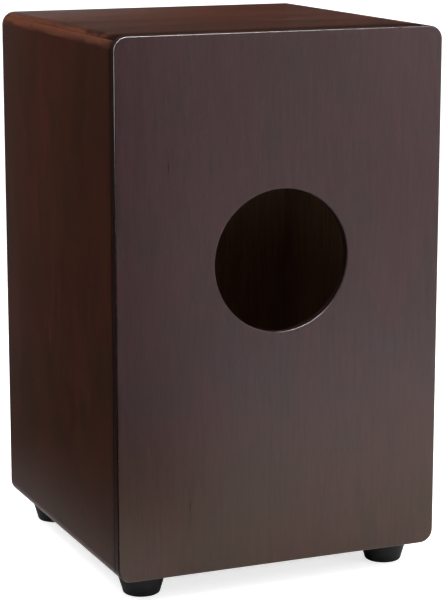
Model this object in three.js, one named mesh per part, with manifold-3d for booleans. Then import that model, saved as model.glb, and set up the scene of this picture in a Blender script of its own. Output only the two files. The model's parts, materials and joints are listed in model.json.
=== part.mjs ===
// A snare cajon: a wooden box drum that the player sits on and strikes on its thin front plate, the tapa.
// Millimetres, +Z up. The origin is on the floor, under the middle of the box.
// The tapa faces -Y and the rear panel, with the sound hole, faces +Y. Left is -X and right is +X.

import * as THREE from "three";
import { mergeVertices } from "three/addons/utils/BufferGeometryUtils.js";
import Module from "manifold-3d";

const wasm = await Module();
wasm.setup();

// ---- Driving dimensions --------------------------------------------------------------------------

const BOX_WIDTH = 300;
const BOX_DEPTH = 296; // with the tapa and the rear panel
const BOX_HEIGHT = 461; // without the feet
const FOOT_HEIGHT = 21;
const WALL = 12; // top, bottom and side walls
const REAR_THICKNESS = 8;
const TAPA_THICKNESS = 3;
const LONG_EDGE_RADIUS = 12; // the four edges that run from front to back
const RIM_RADIUS = 1.3; // the softened outer rim of the rear panel
const GLUE_LINE = 0.3; // the joint that shows at each mitred corner

const HOLE_RADIUS = 61.5;
const HOLE_RIM_RADIUS = 1; // the softened rim of the sound hole
const HOLE_ABOVE_BOX_BOTTOM = 267.5;

const CLEAT = 22; // the legs of the triangular cleats glued into the corners

const FOOT_INSET = 33; // from the sides of the box to the middle of a foot
const FOOT_TOP_RADIUS = 22;
const FOOT_BOTTOM_RADIUS = 16.5;
const FOOT_EDGE_RADIUS = 2.5;
const FOOT_POCKET_RADIUS = 7.5; // the pocket that hides the screw head
const FOOT_POCKET_DEPTH = 11;

const SIDE_SCREWS = 5; // tapa screws in each side wall
const SIDE_SCREW_MARGIN = 30; // from the corner of the box to the first of them
const ROW_SCREWS = 3; // tapa screws in the top wall, and in the bottom wall
const ROW_SCREW_SPACING = 90;

const SNARE_AXIS_HEIGHT = 336; // above the floor
const SNARE_AXIS_BEHIND_TAPA = 20; // from the back of the tapa
const BAR_DEPTH = 20;
const BAR_HEIGHT = 30;
const BAR_CORNER_RADIUS = 2;
const PIVOT_BLOCK = { thickness: 18, depth: 42, height: 46, behindTapa: 2 };
const PIN_RADIUS = 4;
const PIN_LENGTH = 30;
const PIN_IN_BAR = 14;
const FRICTION_WASHER = { outer: 11, inner: 4.4, thickness: 1.8 };
const SWING = THREE.MathUtils.degToRad(20); // from the strands on the tapa to the bar on its stop pins
const STOP_PIN = { radius: 2.5, length: 28, inBlock: 14, aboveAxis: 10 };

const SNARE_STRANDS = 10; // in each of the two half snares
const STRAND_RADIUS = 1.2;
const STRAND_LENGTH = 108;
const STRAND_SPACING = 4.6;
const STRAND_LET_IN = 0.2; // how deep the strands lie in the clip
const STRAND_LAP = 2.4; // how far they overlap the clip's upper edge
const STRAND_TIP_GAP = 0.3; // between a strand's tip and the tapa
const SNARE_SPLAY = THREE.MathUtils.degToRad(12); // each half snare leans towards its own top corner
const SNARE_OFFSET = 62; // from the middle of the bar to the middle of a half snare
const CLIP = { width: 54, height: 13, thickness: 1.2, belowBarTop: 9 };
const CLIP_SCREW_OFFSET = 18;

const LEVER = { width: 16, thickness: 2.5, foot: 26, reach: 80, bend: 4, screwHeights: [10, 20] };
const GRIP = { width: 22, height: 9, length: 42, socket: 36, corner: 3 };

const FIT_GAP = 0.15; // between a screw and its hole, and round anything that slides over another piece
const PILOT_EXTRA = 0.6; // how much deeper a pilot hole is than its screw
const HEAD_GAP = 0.2; // between a foot screw's head and its washer
const RUNNING_GAP = 0.1; // between a pivot pin and its bore
const BORE_SEGMENTS = 32;
const HOLE_SEGMENTS = 72;

// ---- Places worked out from them -----------------------------------------------------------------

const HALF_WIDTH = BOX_WIDTH / 2;
const HALF_HEIGHT = BOX_HEIGHT / 2;
const FRONT = -BOX_DEPTH / 2;
const REAR = BOX_DEPTH / 2;
const TAPA_BACK = FRONT + TAPA_THICKNESS;
const REAR_PANEL_FRONT = REAR - REAR_THICKNESS;
const SHELL_DEPTH = REAR_PANEL_FRONT - TAPA_BACK;
const BOX_BOTTOM = FOOT_HEIGHT;
const BOX_TOP = FOOT_HEIGHT + BOX_HEIGHT;
const BOX_MIDDLE = (BOX_BOTTOM + BOX_TOP) / 2;
const INNER_HALF_WIDTH = HALF_WIDTH - WALL;

const SNARE_AXIS_Y = TAPA_BACK + SNARE_AXIS_BEHIND_TAPA;
const BLOCK_FACE = INNER_HALF_WIDTH - PIVOT_BLOCK.thickness;
const BAR_HALF_LENGTH = BLOCK_FACE - FRICTION_WASHER.thickness - 2 * FIT_GAP;
const BAR_FRONT = SNARE_AXIS_Y - BAR_DEPTH / 2;
const BAR_REAR = SNARE_AXIS_Y + BAR_DEPTH / 2;
const BAR_TOP = SNARE_AXIS_HEIGHT + BAR_HEIGHT / 2;
const CLIP_MIDDLE = BAR_TOP - CLIP.belowBarTop;
const STRAND_AXIS_Y = BAR_FRONT - CLIP.thickness - STRAND_RADIUS + STRAND_LET_IN;
const STRAND_TIP_Y = TAPA_BACK + STRAND_RADIUS + STRAND_TIP_GAP;
const STRAND_LEAN = Math.asin((STRAND_AXIS_Y - STRAND_TIP_Y) / STRAND_LENGTH);

// A stop pin lies where the bar's rear face meets it once the bar has turned by the whole swing.
const STOP_PIN_REACH = BAR_DEPTH / 2 + STOP_PIN.radius + FIT_GAP + STOP_PIN.aboveAxis * Math.sin(SWING);
const STOP_PIN_Y = SNARE_AXIS_Y + STOP_PIN_REACH / Math.cos(SWING);
const STOP_PIN_Z = SNARE_AXIS_HEIGHT + STOP_PIN.aboveAxis;

// ---- Materials -----------------------------------------------------------------------------------

const satinWood = (color) => new THREE.MeshStandardMaterial({ color, roughness: 0.42, metalness: 0 });
const MATERIAL = {
  shell: satinWood(0x3a241d),
  rear: satinWood(0x43302b),
  tapa: satinWood(0x452a21),
  rawWood: new THREE.MeshStandardMaterial({ color: 0xb08a5c, roughness: 0.75, metalness: 0 }),
  rubber: new THREE.MeshStandardMaterial({ color: 0x171717, roughness: 0.8, metalness: 0 }),
  blackSteel: new THREE.MeshStandardMaterial({ color: 0x1c1b1b, roughness: 0.4, metalness: 0.8 }),
  steel: new THREE.MeshStandardMaterial({ color: 0xb9bcc0, roughness: 0.3, metalness: 1 }),
  cork: new THREE.MeshStandardMaterial({ color: 0xa87b4e, roughness: 0.9, metalness: 0 }),
};

// ---- Solids: joining and cutting -----------------------------------------------------------------

function solidOf(geometry) {
  const bare = new THREE.BufferGeometry();
  bare.setAttribute("position", geometry.getAttribute("position"));
  bare.setIndex(geometry.index);
  const merged = mergeVertices(bare, 1e-4);
  return new wasm.Manifold(
    new wasm.Mesh({
      numProp: 3,
      vertProperties: merged.getAttribute("position").array,
      triVerts: new Uint32Array(merged.index.array),
    }),
  );
}

function geometryOf(solid) {
  const mesh = solid.getMesh();
  const geometry = new THREE.BufferGeometry();
  geometry.setAttribute("position", new THREE.BufferAttribute(mesh.vertProperties, 3));
  geometry.setIndex(new THREE.BufferAttribute(mesh.triVerts, 1));
  geometry.computeVertexNormals();
  return geometry;
}

function cut(geometry, cutters) {
  return geometryOf(cutters.reduce((solid, cutter) => solid.subtract(solidOf(cutter)), solidOf(geometry)));
}

function join(geometries) {
  return geometryOf(geometries.map(solidOf).reduce((all, solid) => all.add(solid)));
}

// ---- Shapes and ways to place them ---------------------------------------------------------------

const X_AXIS = new THREE.Vector3(1, 0, 0);
const Y_AXIS = new THREE.Vector3(0, 1, 0);
const Z_AXIS = new THREE.Vector3(0, 0, 1);

// A prism along Y whose outline is drawn in x and z, from `low` to `high`.
function prismAlongY(outline, low, high, curveSegments = 8) {
  const geometry = new THREE.ExtrudeGeometry(outline, {
    depth: high - low,
    bevelEnabled: false,
    curveSegments,
  });
  geometry.applyMatrix4(new THREE.Matrix4().makeBasis(X_AXIS, Z_AXIS, Y_AXIS.clone().negate()));
  return geometry.translate(0, high, 0);
}

// A prism along X whose outline is drawn in y and z, from `low` to `high`.
function prismAlongX(outline, low, high, curveSegments = 6) {
  const geometry = new THREE.ExtrudeGeometry(outline, {
    depth: high - low,
    bevelEnabled: false,
    curveSegments,
  });
  geometry.applyMatrix4(new THREE.Matrix4().makeBasis(Y_AXIS, Z_AXIS, X_AXIS));
  return geometry.translate(low, 0, 0);
}

// The arc of a quarter of a circle, as [distance from the centre along x, and along y], from +x to +y.
function quarterArc(radius, steps) {
  return Array.from({ length: steps + 1 }, (_, i) => {
    const angle = ((i / steps) * Math.PI) / 2;
    return [radius * Math.cos(angle), radius * Math.sin(angle)];
  });
}

function roundedRectangle(width, height, radius) {
  const x = width / 2 - radius;
  const y = height / 2 - radius;
  const outline = new THREE.Shape();
  outline.absarc(x, y, radius, 0, Math.PI / 2);
  outline.absarc(-x, y, radius, Math.PI / 2, Math.PI);
  outline.absarc(-x, -y, radius, Math.PI, 1.5 * Math.PI);
  outline.absarc(x, -y, radius, 1.5 * Math.PI, 2 * Math.PI);
  outline.closePath();
  return outline;
}

function box(width, depth, height, x, y, z) {
  return new THREE.BoxGeometry(width, depth, height).translate(x, y, z);
}

// A turned solid about Y. The profile is a list of [radius, distance along Y].
function turned(profile, segments) {
  const points = profile.map(([radius, along]) => new THREE.Vector2(radius, along));
  return new THREE.LatheGeometry(points, segments);
}

const pointUp = (geometry) => geometry.rotateX(Math.PI / 2); // from +Y to +Z
const pointRight = (geometry) => geometry.rotateZ(-Math.PI / 2); // from +Y to +X

function pin(radius, length, segments = 16) {
  return new THREE.CylinderGeometry(radius, radius, length, segments);
}

// ---- Screws --------------------------------------------------------------------------------------

// Each kind of wood screw. The head's face is at 0 and the tip is at +length.
const SCREW = {
  tapa: { countersunk: true, headRadius: 3.6, headHeight: 2.2, shankRadius: 1.7, length: 18 },
  foot: { countersunk: false, headRadius: 4.2, headHeight: 2.8, shankRadius: 2, length: 23.5 },
  clip: { countersunk: false, headRadius: 3, headHeight: 1.9, shankRadius: 1.5, length: 13 },
};
const SCREW_SEGMENTS = 12;

function screwProfile({ countersunk, headRadius, headHeight, shankRadius, length }) {
  const domed = [
    [0, 0],
    [headRadius * 0.6, 0],
    [headRadius, headHeight * 0.55],
    [headRadius, headHeight],
  ];
  const flush = [
    [0, 0],
    [headRadius, 0],
  ];
  return [
    ...(countersunk ? flush : domed),
    [shankRadius, headHeight],
    [shankRadius, length - 2 * shankRadius],
    [0, length],
  ];
}

// The space a screw needs: its own shape grown by the fit gap, open past the head.
function screwHoleProfile({ countersunk, headRadius, headHeight, shankRadius, length }) {
  const mouth = countersunk ? headRadius + FIT_GAP : shankRadius + FIT_GAP;
  return [
    [0, -1],
    [mouth, -1],
    [mouth, 0],
    [shankRadius + FIT_GAP, headHeight],
    [shankRadius + FIT_GAP, length + PILOT_EXTRA],
    [0, length + PILOT_EXTRA],
  ];
}

const screwGeometry = (kind) => turned(screwProfile(kind), SCREW_SEGMENTS);
const screwHole = (kind) => turned(screwHoleProfile(kind), SCREW_SEGMENTS);

// ---- Where things repeat -------------------------------------------------------------------------

const SIDES = [
  { name: "left", sign: -1 },
  { name: "right", sign: 1 },
];

// The tapa screws, driven along +Y into the middle of the walls' front edges.
function tapaScrewPlaces() {
  const places = [];
  const step = (BOX_HEIGHT - 2 * SIDE_SCREW_MARGIN) / (SIDE_SCREWS - 1);
  for (const { name, sign } of SIDES) {
    for (let i = 0; i < SIDE_SCREWS; i += 1) {
      const z = BOX_TOP - SIDE_SCREW_MARGIN - i * step;
      places.push({ name: `tapa_screw_${name}_${i + 1}`, x: sign * (HALF_WIDTH - WALL / 2), z });
    }
  }
  for (const [name, z] of [["top", BOX_TOP - WALL / 2], ["bottom", BOX_BOTTOM + WALL / 2]]) {
    for (let i = 0; i < ROW_SCREWS; i += 1) {
      const x = (i - (ROW_SCREWS - 1) / 2) * ROW_SCREW_SPACING;
      places.push({ name: `tapa_screw_${name}_${i + 1}`, x, z });
    }
  }
  return places;
}

function footPlaces() {
  const places = [];
  for (const { name: side, sign } of SIDES) {
    for (const [end, y] of [["front", FRONT + FOOT_INSET], ["rear", REAR - FOOT_INSET]]) {
      places.push({ name: `${end}_${side}`, x: sign * (HALF_WIDTH - FOOT_INSET), y });
    }
  }
  return places;
}

const tapaScrewHoles = () =>
  tapaScrewPlaces().map(({ x, z }) => screwHole(SCREW.tapa).translate(x, FRONT, z));

// The foot screws stand on their heads in the feet's pockets.
const FOOT_WASHER = { outer: 7.2, inner: 2.3, thickness: 1 };
const FOOT_SCREW_START = FOOT_POCKET_DEPTH - FOOT_WASHER.thickness - HEAD_GAP - SCREW.foot.headHeight;

// ---- The box -------------------------------------------------------------------------------------

// One mitred wall's section. `reach` is half the box's size along the wall and `out` is from the middle
// of the box to the wall's outer face. The mitre stops short of 45 degrees by half the glue line.
function wallSection(reach, out) {
  const r = LONG_EDGE_RADIUS;
  const slack = GLUE_LINE / 2;
  const fromMitre = Math.PI / 4 + Math.asin(slack / r);
  const inner = reach - WALL - slack * Math.SQRT2;
  const outline = new THREE.Shape();
  outline.moveTo(-inner, out - WALL);
  outline.lineTo(inner, out - WALL);
  outline.absarc(reach - r, out - r, r, fromMitre, Math.PI / 2);
  outline.absarc(r - reach, out - r, r, Math.PI / 2, Math.PI - fromMitre);
  outline.closePath();
  return outline;
}

function wall(name, reach, out, turn, cutters) {
  const blank = prismAlongY(wallSection(reach, out), TAPA_BACK, REAR_PANEL_FRONT, 5);
  blank.rotateY(turn).translate(0, 0, BOX_MIDDLE);
  const mesh = new THREE.Mesh(cut(blank, cutters), MATERIAL.shell);
  mesh.name = name;
  return mesh;
}

function shell() {
  const group = new THREE.Group();
  const tapaHoles = tapaScrewHoles();
  const footHoles = footPlaces().map(({ x, y }) =>
    pointUp(screwHole(SCREW.foot)).translate(x, y, FOOT_SCREW_START),
  );
  group.add(wall("top_panel", HALF_WIDTH, HALF_HEIGHT, 0, tapaHoles));
  group.add(wall("bottom_panel", HALF_WIDTH, HALF_HEIGHT, Math.PI, [...tapaHoles, ...footHoles]));
  group.add(wall("right_side_panel", HALF_HEIGHT, HALF_WIDTH, Math.PI / 2, tapaHoles));
  group.add(wall("left_side_panel", HALF_HEIGHT, HALF_WIDTH, -Math.PI / 2, tapaHoles));
  return group;
}

// The cutter for the sound hole: a cylinder along Y that flares round the hole's outer rim.
function soundHole() {
  const rim = quarterArc(HOLE_RIM_RADIUS, 4).map(([across, along]) => [
    HOLE_RADIUS + HOLE_RIM_RADIUS - across,
    REAR - HOLE_RIM_RADIUS + along,
  ]);
  const [low, high] = [REAR_PANEL_FRONT - WALL, REAR + WALL];
  const profile = [[0, low], [HOLE_RADIUS, low], ...rim, [HOLE_RADIUS + HOLE_RIM_RADIUS, high], [0, high]];
  return turned(profile, HOLE_SEGMENTS).translate(0, 0, BOX_BOTTOM + HOLE_ABOVE_BOX_BOTTOM);
}

// The rear panel, with its outer rim rounded.
// It is made thicker by one rim, so that the rounding on its inner face can be cut away.
function rearPanel() {
  const rounded = new THREE.ExtrudeGeometry(roundedRectangle(BOX_WIDTH, BOX_HEIGHT, LONG_EDGE_RADIUS), {
    depth: REAR_THICKNESS - RIM_RADIUS,
    bevelThickness: RIM_RADIUS,
    bevelSize: RIM_RADIUS,
    bevelOffset: -RIM_RADIUS,
    bevelSegments: 3,
    curveSegments: 6,
  });
  rounded.applyMatrix4(new THREE.Matrix4().makeBasis(X_AXIS, Z_AXIS, Y_AXIS.clone().negate()));
  rounded.translate(0, REAR - RIM_RADIUS, BOX_MIDDLE);
  const spare = 2 * RIM_RADIUS;
  const behind = box(
    BOX_WIDTH + spare, spare, BOX_HEIGHT + spare, 0, REAR_PANEL_FRONT - spare / 2, BOX_MIDDLE,
  );
  const mesh = new THREE.Mesh(cut(rounded, [behind, soundHole()]), MATERIAL.rear);
  mesh.name = "rear_panel";
  return mesh;
}

function tapa() {
  const outline = roundedRectangle(BOX_WIDTH, BOX_HEIGHT, LONG_EDGE_RADIUS);
  const blank = prismAlongY(outline, FRONT, TAPA_BACK, 5).translate(0, 0, BOX_MIDDLE);
  const mesh = new THREE.Mesh(cut(blank, tapaScrewHoles()), MATERIAL.tapa);
  mesh.name = "tapa";
  return mesh;
}

function tapaScrews() {
  const group = new THREE.Group();
  const geometry = screwGeometry(SCREW.tapa);
  for (const { name, x, z } of tapaScrewPlaces()) {
    const screw = new THREE.Mesh(geometry, MATERIAL.blackSteel);
    screw.name = name;
    screw.position.set(x, FRONT, z);
    group.add(screw);
  }
  return group;
}

// Triangular cleats that back up the mitred corners.
function cornerCleats() {
  const group = new THREE.Group();
  const innerHalfHeight = HALF_HEIGHT - WALL;
  for (const { name: side, sign } of SIDES) {
    for (const [end, up] of [["top", 1], ["bottom", -1]]) {
      const corner = [sign * INNER_HALF_WIDTH, up * innerHalfHeight];
      const along = [corner[0] - sign * CLEAT, corner[1]];
      const down = [corner[0], corner[1] - up * CLEAT];
      const outline = new THREE.Shape([corner, along, down].map(([x, z]) => new THREE.Vector2(x, z)));
      const cleat = new THREE.Mesh(prismAlongY(outline, TAPA_BACK, REAR_PANEL_FRONT), MATERIAL.rawWood);
      cleat.name = `corner_cleat_${end}_${side}`;
      cleat.position.z = BOX_MIDDLE;
      group.add(cleat);
    }
  }
  return group;
}

// ---- Feet ----------------------------------------------------------------------------------------

// A tapered rubber foot with a rounded lower edge, a pocket for the screw head and a bore for its shank.
function footProfile() {
  const bore = SCREW.foot.shankRadius + FIT_GAP;
  const centre = FOOT_BOTTOM_RADIUS - FOOT_EDGE_RADIUS;
  const edge = quarterArc(FOOT_EDGE_RADIUS, 4).map(([across, down]) => [
    centre + across,
    FOOT_EDGE_RADIUS - down,
  ]);
  return [
    [FOOT_POCKET_RADIUS, 0],
    ...edge.reverse(),
    [FOOT_TOP_RADIUS, FOOT_HEIGHT],
    [bore, FOOT_HEIGHT],
    [bore, FOOT_POCKET_DEPTH],
    [FOOT_POCKET_RADIUS, FOOT_POCKET_DEPTH],
    [FOOT_POCKET_RADIUS, 0],
  ];
}

function washerProfile({ outer, inner, thickness }) {
  return [
    [inner, 0],
    [outer, 0],
    [outer, thickness],
    [inner, thickness],
    [inner, 0],
  ];
}

function feet() {
  const group = new THREE.Group();
  const parts = [
    ["foot", pointUp(turned(footProfile(), 28)), MATERIAL.rubber, 0],
    [
      "foot_washer",
      pointUp(turned(washerProfile(FOOT_WASHER), 16)),
      MATERIAL.steel,
      FOOT_POCKET_DEPTH - FOOT_WASHER.thickness,
    ],
    ["foot_screw", pointUp(screwGeometry(SCREW.foot)), MATERIAL.blackSteel, FOOT_SCREW_START],
  ];
  for (const { name: place, x, y } of footPlaces()) {
    for (const [name, geometry, material, z] of parts) {
      const mesh = new THREE.Mesh(geometry, material);
      mesh.name = `${name}_${place}`;
      mesh.position.set(x, y, z);
      group.add(mesh);
    }
  }
  return group;
}

// ---- Snare ---------------------------------------------------------------------------------------

// The screws that hold a half snare's clip, and the lever, to the bar.
const clipScrewPlaces = (sign) =>
  [-1, 1].map((end) => {
    const along = end * CLIP_SCREW_OFFSET;
    return {
      x: sign * SNARE_OFFSET + along * Math.cos(SNARE_SPLAY),
      z: CLIP_MIDDLE - sign * along * Math.sin(SNARE_SPLAY),
    };
  });
const LEVER_BOTTOM = SNARE_AXIS_HEIGHT - BAR_HEIGHT / 2;
const LEVER_SCREW_HEIGHTS = LEVER.screwHeights.map((height) => LEVER_BOTTOM + height);

const facingFront = (geometry, x, z, y) => geometry.translate(x, y, z);
const facingRear = (geometry, x, z, y) => geometry.rotateX(Math.PI).translate(x, y, z);

// The wooden bar that carries both half snares and turns about X on a steel pin at each end.
function snareBar() {
  const outline = roundedRectangle(BAR_DEPTH, BAR_HEIGHT, BAR_CORNER_RADIUS);
  const bar = prismAlongX(outline, -BAR_HALF_LENGTH, BAR_HALF_LENGTH, 3);
  bar.translate(0, SNARE_AXIS_Y, SNARE_AXIS_HEIGHT);
  const head = SCREW.clip.headHeight;
  const cutters = SIDES.flatMap(({ sign }) => {
    const bore = pointRight(pin(PIN_RADIUS + RUNNING_GAP, 2 * (PIN_IN_BAR + FIT_GAP), BORE_SEGMENTS));
    return [
      bore.translate(sign * BAR_HALF_LENGTH, SNARE_AXIS_Y, SNARE_AXIS_HEIGHT),
      ...clipScrewPlaces(sign).map(({ x, z }) =>
        facingFront(screwHole(SCREW.clip), x, z, BAR_FRONT - CLIP.thickness - head),
      ),
    ];
  });
  for (const z of LEVER_SCREW_HEIGHTS) {
    cutters.push(facingRear(screwHole(SCREW.clip), 0, z, BAR_REAR + LEVER.thickness + head));
  }
  const mesh = new THREE.Mesh(cut(bar, cutters), MATERIAL.rawWood);
  mesh.name = "snare_bar";
  return mesh;
}

// A half snare: a steel clip with the strands soldered into it, as one piece.
function halfSnare(name, sign) {
  const holes = [-1, 1].map((end) =>
    pin(SCREW.clip.shankRadius + FIT_GAP, 4 * CLIP.thickness, 12).translate(end * CLIP_SCREW_OFFSET, 0, 0),
  );
  const plate = cut(box(CLIP.width, CLIP.thickness, CLIP.height, 0, -CLIP.thickness / 2, 0), holes);
  const strands = [];
  for (let i = 0; i < SNARE_STRANDS; i += 1) {
    const x = (i - (SNARE_STRANDS - 1) / 2) * STRAND_SPACING;
    const strand = pointUp(pin(STRAND_RADIUS, STRAND_LENGTH, 6)).translate(0, 0, STRAND_LENGTH / 2);
    strand.rotateX(STRAND_LEAN);
    strands.push(strand.translate(x, STRAND_AXIS_Y - BAR_FRONT, CLIP.height / 2 - STRAND_LAP));
  }
  const mesh = new THREE.Mesh(join([plate, ...strands]), MATERIAL.steel);
  mesh.name = name;
  mesh.rotation.y = sign * SNARE_SPLAY;
  mesh.position.set(sign * SNARE_OFFSET, BAR_FRONT, CLIP_MIDDLE);
  return mesh;
}

function clipScrew(name, x, z) {
  const screw = new THREE.Mesh(screwGeometry(SCREW.clip), MATERIAL.blackSteel);
  screw.name = name;
  screw.position.set(x, BAR_FRONT - CLIP.thickness - SCREW.clip.headHeight, z);
  return screw;
}

// A bent steel strip on the back of the bar, worked by a hand put through the sound hole.
function lever() {
  const t = LEVER.thickness;
  const outline = new THREE.Shape();
  outline.moveTo(0, LEVER.foot);
  outline.lineTo(0, LEVER.bend);
  outline.absarc(LEVER.bend, LEVER.bend, LEVER.bend, Math.PI, 1.5 * Math.PI);
  outline.lineTo(LEVER.reach, 0);
  outline.lineTo(LEVER.reach, t);
  outline.lineTo(LEVER.bend, t);
  outline.absarc(LEVER.bend, LEVER.bend, LEVER.bend - t, 1.5 * Math.PI, Math.PI, true);
  outline.lineTo(t, LEVER.foot);
  outline.closePath();
  const strip = prismAlongX(outline, -LEVER.width / 2, LEVER.width / 2);
  strip.translate(0, BAR_REAR, LEVER_BOTTOM);
  const holes = LEVER_SCREW_HEIGHTS.map((z) =>
    pin(SCREW.clip.shankRadius + FIT_GAP, 4 * t, 12).translate(0, BAR_REAR, z),
  );
  const mesh = new THREE.Mesh(cut(strip, holes), MATERIAL.steel);
  mesh.name = "snare_lever";
  return mesh;
}

function leverScrew(name, z) {
  const screw = new THREE.Mesh(screwGeometry(SCREW.clip), MATERIAL.blackSteel);
  screw.name = name;
  screw.rotation.x = Math.PI;
  screw.position.set(0, BAR_REAR + LEVER.thickness + SCREW.clip.headHeight, z);
  return screw;
}

// A rubber grip pushed over the end of the lever.
function leverGrip() {
  const middle = LEVER_BOTTOM + LEVER.thickness / 2;
  const leverEnd = BAR_REAR + LEVER.reach;
  const start = leverEnd - GRIP.socket;
  const outline = roundedRectangle(GRIP.width, GRIP.height, GRIP.corner);
  const body = prismAlongY(outline, start, start + GRIP.length, 4).translate(0, 0, middle);
  const depth = GRIP.socket + 2 * FIT_GAP;
  const socket = box(
    LEVER.width + 2 * FIT_GAP,
    depth + 1,
    LEVER.thickness + 2 * FIT_GAP,
    0,
    start + depth / 2 - 0.5,
    middle,
  );
  const mesh = new THREE.Mesh(cut(body, [socket]), MATERIAL.rubber);
  mesh.name = "lever_grip";
  return mesh;
}

// At each end of the bar: a block glued to the side wall, a pivot pin, a stop pin and a friction washer.
function pivotBlock(name, sign) {
  const { thickness, depth, height, behindTapa } = PIVOT_BLOCK;
  const x = sign * (INNER_HALF_WIDTH - thickness / 2);
  const y = TAPA_BACK + behindTapa + depth / 2;
  const blank = box(thickness, depth, height, x, y, SNARE_AXIS_HEIGHT);
  const pivotBore = pointRight(pin(PIN_RADIUS + RUNNING_GAP, 2 * (PIN_LENGTH - PIN_IN_BAR), BORE_SEGMENTS));
  pivotBore.translate(sign * BLOCK_FACE, SNARE_AXIS_Y, SNARE_AXIS_HEIGHT);
  const stopBore = pointRight(pin(STOP_PIN.radius + FIT_GAP, 2 * (STOP_PIN.inBlock + FIT_GAP), BORE_SEGMENTS));
  stopBore.translate(sign * BLOCK_FACE, STOP_PIN_Y, STOP_PIN_Z);
  const mesh = new THREE.Mesh(cut(blank, [pivotBore, stopBore]), MATERIAL.rawWood);
  mesh.name = name;
  return mesh;
}

function stopPin(name, sign) {
  const mesh = new THREE.Mesh(pointRight(pin(STOP_PIN.radius, STOP_PIN.length)), MATERIAL.steel);
  mesh.name = name;
  mesh.position.set(sign * (BLOCK_FACE + STOP_PIN.inBlock - STOP_PIN.length / 2), STOP_PIN_Y, STOP_PIN_Z);
  return mesh;
}

function pivotPin(name, sign) {
  const mesh = new THREE.Mesh(pointRight(pin(PIN_RADIUS, PIN_LENGTH)), MATERIAL.steel);
  mesh.name = name;
  const x = BAR_HALF_LENGTH - PIN_IN_BAR + PIN_LENGTH / 2;
  mesh.position.set(sign * x, SNARE_AXIS_Y, SNARE_AXIS_HEIGHT);
  return mesh;
}

function frictionWasher(name, sign) {
  const mesh = new THREE.Mesh(pointRight(turned(washerProfile(FRICTION_WASHER), 24)), MATERIAL.cork);
  mesh.name = name;
  const low = BAR_HALF_LENGTH + FIT_GAP;
  const x = sign > 0 ? low : -low - FRICTION_WASHER.thickness;
  mesh.position.set(x, SNARE_AXIS_Y, SNARE_AXIS_HEIGHT);
  return mesh;
}

function snare() {
  const group = new THREE.Group();
  group.add(snareBar(), lever(), leverGrip());
  LEVER_SCREW_HEIGHTS.forEach((z, i) => group.add(leverScrew(`lever_screw_${i + 1}`, z)));
  for (const { name, sign } of SIDES) {
    group.add(halfSnare(`half_snare_${name}`, sign));
    clipScrewPlaces(sign).forEach(({ x, z }, i) => group.add(clipScrew(`clip_screw_${name}_${i + 1}`, x, z)));
    group.add(pivotBlock(`pivot_block_${name}`, sign));
    group.add(pivotPin(`pivot_pin_${name}`, sign));
    group.add(stopPin(`stop_pin_${name}`, sign));
    group.add(frictionWasher(`friction_washer_${name}`, sign));
  }
  return group;
}

// ---- The whole cajon -----------------------------------------------------------------------------

const cajon = new THREE.Group();
cajon.add(shell(), rearPanel(), tapa(), tapaScrews(), cornerCleats(), feet(), snare());

export default cajon;
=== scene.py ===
import json
import math

import bmesh
import bpy
from mathutils import Matrix, Vector

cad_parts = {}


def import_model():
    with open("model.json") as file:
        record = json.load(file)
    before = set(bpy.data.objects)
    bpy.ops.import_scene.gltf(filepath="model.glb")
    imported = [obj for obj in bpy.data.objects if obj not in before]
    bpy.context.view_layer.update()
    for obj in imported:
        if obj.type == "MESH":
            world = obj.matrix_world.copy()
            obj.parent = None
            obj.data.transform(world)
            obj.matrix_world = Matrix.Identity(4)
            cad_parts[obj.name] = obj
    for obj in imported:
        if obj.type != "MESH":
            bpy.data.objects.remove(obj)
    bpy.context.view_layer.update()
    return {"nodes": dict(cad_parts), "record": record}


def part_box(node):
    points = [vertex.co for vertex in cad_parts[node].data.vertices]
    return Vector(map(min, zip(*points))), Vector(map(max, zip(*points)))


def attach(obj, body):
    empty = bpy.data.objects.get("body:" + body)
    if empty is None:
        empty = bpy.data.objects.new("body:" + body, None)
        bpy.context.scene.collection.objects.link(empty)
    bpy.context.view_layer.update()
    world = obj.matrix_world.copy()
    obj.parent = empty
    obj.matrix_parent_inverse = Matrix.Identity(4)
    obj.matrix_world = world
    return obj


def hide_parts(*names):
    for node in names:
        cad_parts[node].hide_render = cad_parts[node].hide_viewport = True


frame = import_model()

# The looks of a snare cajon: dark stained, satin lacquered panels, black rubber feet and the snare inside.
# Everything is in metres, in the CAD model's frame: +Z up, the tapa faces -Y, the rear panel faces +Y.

scene = bpy.context.scene
nodes = frame["nodes"]
MM = 0.001
SIDES = (("left", -1), ("right", 1))

# ---- Sizes: the CAD model's boxes, and the radii that a box doesn't hold -------------------------

TAPA_LOW, TAPA_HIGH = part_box("tapa")
REAR_LOW, REAR_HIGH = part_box("rear_panel")
TOP_LOW, TOP_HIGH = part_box("top_panel")
BAR_LOW, BAR_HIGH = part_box("snare_bar")
OPENING_LOW, OPENING_HIGH = frame["record"]["physics"]["openings"][0]["box_m"]

HALF_WIDTH = REAR_HIGH.x
HALF_HEIGHT = (REAR_HIGH.z - REAR_LOW.z) / 2
BOX_MIDDLE = (REAR_HIGH.z + REAR_LOW.z) / 2
WALL = TOP_HIGH.z - TOP_LOW.z
HOLE_HEIGHT = (OPENING_LOW[2] + OPENING_HIGH[2]) / 2

LONG_EDGE_RADIUS = 12 * MM
RIM_RADIUS = 1.3 * MM
HOLE_RADIUS = 61.5 * MM
HOLE_RIM_RADIUS = 1 * MM
HOLE_INNER_EASE = 0.4 * MM
GLUE_LINE = 0.3 * MM
EASE = 0.15 * MM  # the broken edge beside a joint
TAPA_EASE = 0.8 * MM
PAINTED_SHADE_BAND = 16 * MM  # how far the painted shade beside the rear panel reaches on the sides
TOP_PAINTED_SHADE_BAND = 58 * MM  # and on the top

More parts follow.
